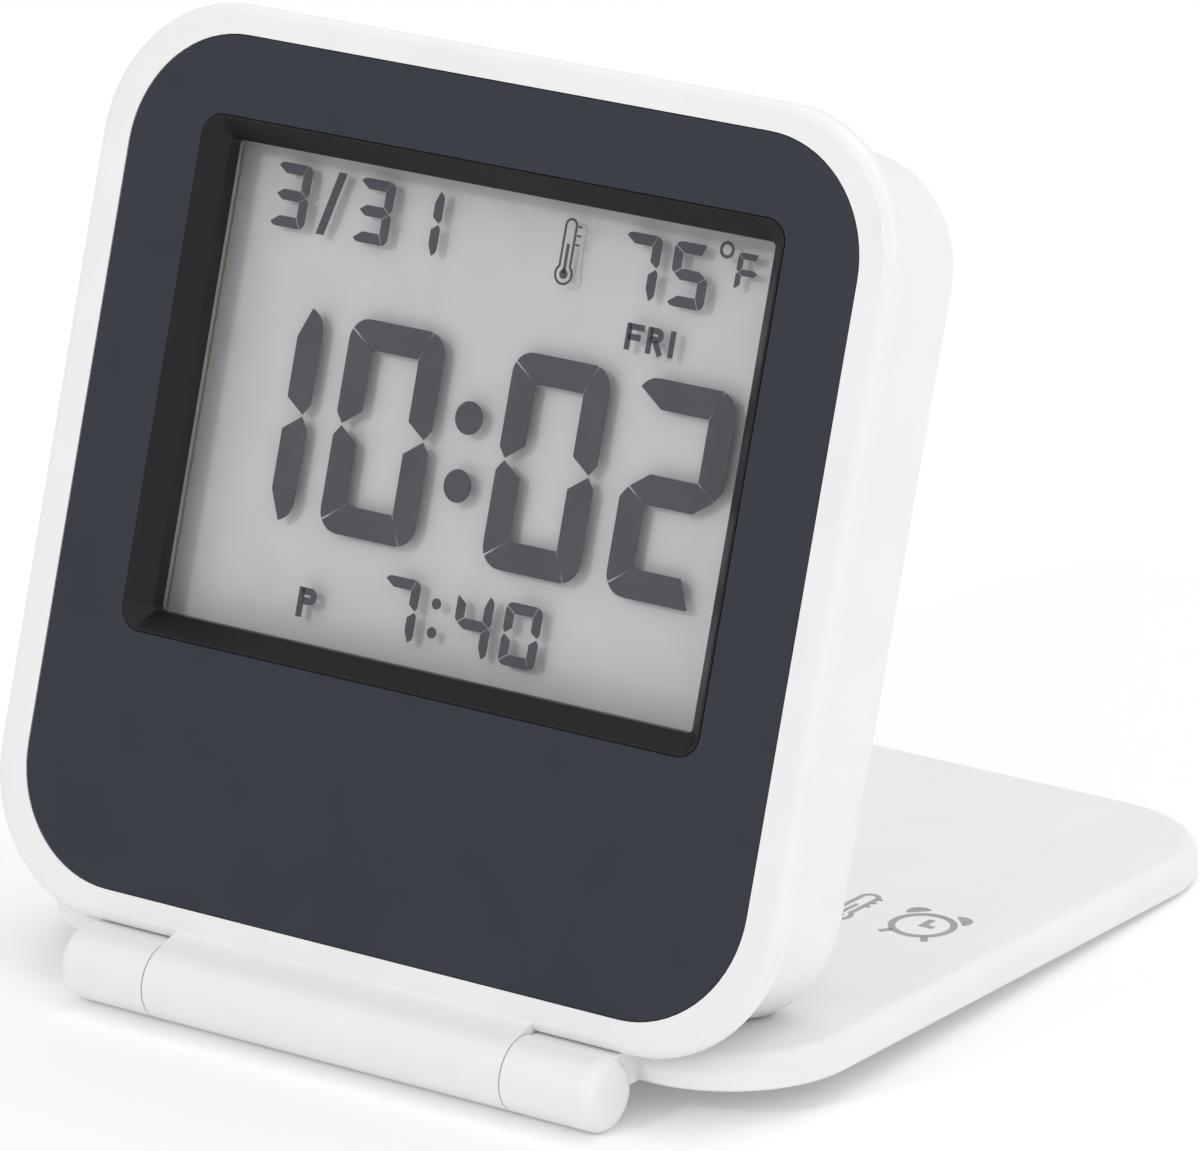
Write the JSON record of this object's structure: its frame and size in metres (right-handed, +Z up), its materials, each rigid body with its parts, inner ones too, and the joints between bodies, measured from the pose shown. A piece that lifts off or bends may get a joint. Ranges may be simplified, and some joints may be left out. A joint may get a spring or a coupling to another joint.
{
  "type": "folding travel alarm clock",
  "caption": "Folding desk clock with a recessed digital display; its square cover is hinged at the foot, props the leaning case and swings over the face.",
  "frame": {"origin": "middle of the open clock at desk level", "axes": "+X to the right seen from the front, +Y to the back along the open cover, +Z up"},
  "size_m": [0.076, 0.0774, 0.0755],
  "materials": {
    "white_shell": "fine satin",
    "navy_plate": "satin",
    "black_rim": "satin",
    "clear_glass": "polished",
    "grey_reflector": "matte",
    "grey_rubber": "matte",
    "ivory_holder": "matte",
    "green_board": "satin",
    "black_switch": "matte",
    "steel": "plated",
    "black_epoxy": "satin",
    "tan_chip": "matte",
    "brass": "bright",
    "ceramic": "matte",
    "grey_key": "fine satin"
  },
  "bodies": {
    "case": {"front_frame": "white_shell", "face_plate": "navy_plate", "window_rim": "black_rim", "lcd_front_glass": "clear_glass", "lcd_rear_glass": "clear_glass", "lcd_reflector": "grey_reflector", "zebra_strip_upper": "grey_rubber", "zebra_strip_lower": "grey_rubber", "lcd_holder": "ivory_holder", "main_board": "green_board", "switch_housings": "black_switch", "controller_blob": "black_epoxy", "quartz_crystal": "steel", "chip_components": "tan_chip", "thermistor": "black_epoxy", "slide_switch_body": "steel", "board_screws": "steel", "case_screws": "steel", "rear_case": "white_shell", "coin_cell": "steel", "battery_contact_negative": "steel", "battery_contact_positive": "steel", "buzzer_disc": "brass", "buzzer_ceramic": "ceramic", "buzzer_spring_contacts": "steel", "hinge_spring": "steel"},
    "cover": {"cover_panel": "white_shell", "hinge_pin_left": "steel", "hinge_pin_right": "steel"},
    "battery_door": {"battery_door": "white_shell"},
    "alarm_slide": {"alarm_slide_knob": "grey_key", "slide_switch_lever": "black_switch"},
    "mode_key": {"mode_button": "grey_key", "mode_plunger": "black_switch"},
    "set_key": {"set_button": "grey_key", "set_plunger": "black_switch"},
    "up_key": {"up_button": "grey_key", "up_plunger": "black_switch"},
    "down_key": {"down_button": "grey_key", "down_plunger": "black_switch"},
    "snooze_key": {"snooze_button": "grey_key", "snooze_plunger": "black_switch"}
  },
  "joints": [
    {"name": "cover_hinge", "type": "hinge", "parent": "case", "child": "cover", "pos_m": [0, -0.03563, 0.00305], "axis": [-1, 0, 0], "range_deg": [0, 286.8]},
    {"name": "mode_press", "type": "slide", "parent": "case", "child": "mode_key", "axis": [0, -0.9445, 0.3284], "range_m": [0, 0.0005], "stiffness_N_per_m": 1200, "springref_m": -0.0004},
    {"name": "set_press", "type": "slide", "parent": "case", "child": "set_key", "axis": [0, -0.9445, 0.3284], "range_m": [0, 0.0005], "stiffness_N_per_m": 1200, "springref_m": -0.0004},
    {"name": "up_press", "type": "slide", "parent": "case", "child": "up_key", "axis": [0, -0.9445, 0.3284], "range_m": [0, 0.0005], "stiffness_N_per_m": 1200, "springref_m": -0.0004},
    {"name": "down_press", "type": "slide", "parent": "case", "child": "down_key", "axis": [0, -0.9445, 0.3284], "range_m": [0, 0.0005], "stiffness_N_per_m": 1200, "springref_m": -0.0004},
    {"name": "snooze_press", "type": "slide", "parent": "case", "child": "snooze_key", "axis": [0, -0.9445, 0.3284], "range_m": [0, 0.0005], "stiffness_N_per_m": 1200, "springref_m": -0.0004},
    {"name": "alarm_slide_move", "type": "slide", "parent": "case", "child": "alarm_slide", "axis": [1, 0, 0], "range_m": [0, 0.0025]},
    {"name": "battery_door_turn", "type": "hinge", "parent": "case", "child": "battery_door", "pos_m": [0, -0.0132, 0.02172], "axis": [0, 0.9445, -0.3284], "range_deg": [0, 45]}
  ]
}
